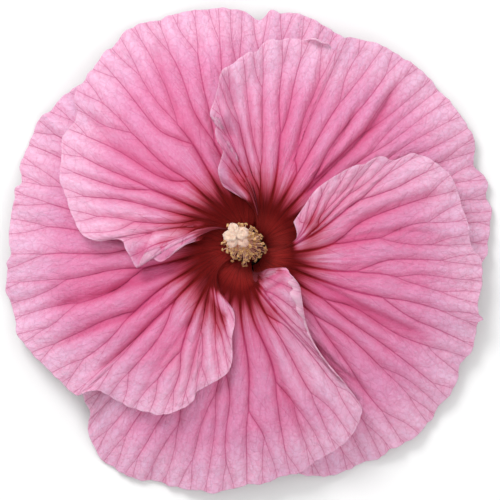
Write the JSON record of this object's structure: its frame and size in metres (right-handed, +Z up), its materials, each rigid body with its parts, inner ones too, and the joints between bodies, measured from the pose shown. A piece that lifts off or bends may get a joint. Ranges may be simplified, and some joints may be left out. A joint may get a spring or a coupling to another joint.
{
  "type": "hibiscus flower",
  "caption": "Open pink rose-mallow hibiscus bloom with a dark red eye, lying face up: broad overlapping petals, a stamen column with stigmas, calyx, bractlets and a short cut stalk.",
  "frame": {"origin": "middle of the flower's box, on the surface that its petals rest on", "axes": "+Z up out of the flower's face, +Y towards the two upper petals' meeting edge, +X to the right as seen from above"},
  "size_m": [0.2006, 0.1984, 0.0464],
  "materials": {
    "petal": "soft matte, thin and slightly translucent, with veins and a dark red throat",
    "stamen_column": "waxy, satin",
    "pistil": "waxy, satin",
    "stigma": "velvety, matte",
    "stamen": "powdery pollen, matte, on satin pink filaments",
    "calyx": "matte green with fine down",
    "bractlet": "matte green with fine down",
    "stalk": "satin green, with a pale cut end"
  },
  "bodies": {
    "root": {"petal_upper_left": "petal", "petal_left": "petal", "petal_bottom": "petal", "petal_right": "petal", "petal_upper_right": "petal", "stamen_column": "stamen_column", "pistil": "pistil", "stigma_1": "stigma", "stigma_2": "stigma", "stigma_3": "stigma", "stigma_4": "stigma", "stigma_5": "stigma", "stamen_01": "stamen", "stamen_02": "stamen", "stamen_03": "stamen", "stamen_04": "stamen", "stamen_05": "stamen", "stamen_06": "stamen", "stamen_07": "stamen", "stamen_08": "stamen", "stamen_09": "stamen", "stamen_10": "stamen", "stamen_11": "stamen", "stamen_12": "stamen", "stamen_13": "stamen", "stamen_14": "stamen", "stamen_15": "stamen", "stamen_16": "stamen", "stamen_17": "stamen", "stamen_18": "stamen", "stamen_19": "stamen", "stamen_20": "stamen", "stamen_21": "stamen", "stamen_22": "stamen", "stamen_23": "stamen", "stamen_24": "stamen", "stamen_25": "stamen", "stamen_26": "stamen", "stamen_27": "stamen", "stamen_28": "stamen", "calyx": "calyx", "bractlet_01": "bractlet", "bractlet_02": "bractlet", "bractlet_03": "bractlet", "bractlet_04": "bractlet", "bractlet_05": "bractlet", "bractlet_06": "bractlet", "bractlet_07": "bractlet", "bractlet_08": "bractlet", "bractlet_09": "bractlet", "bractlet_10": "bractlet", "bractlet_11": "bractlet", "bractlet_12": "bractlet", "flower_stalk": "stalk"}
  },
  "joints": []
}
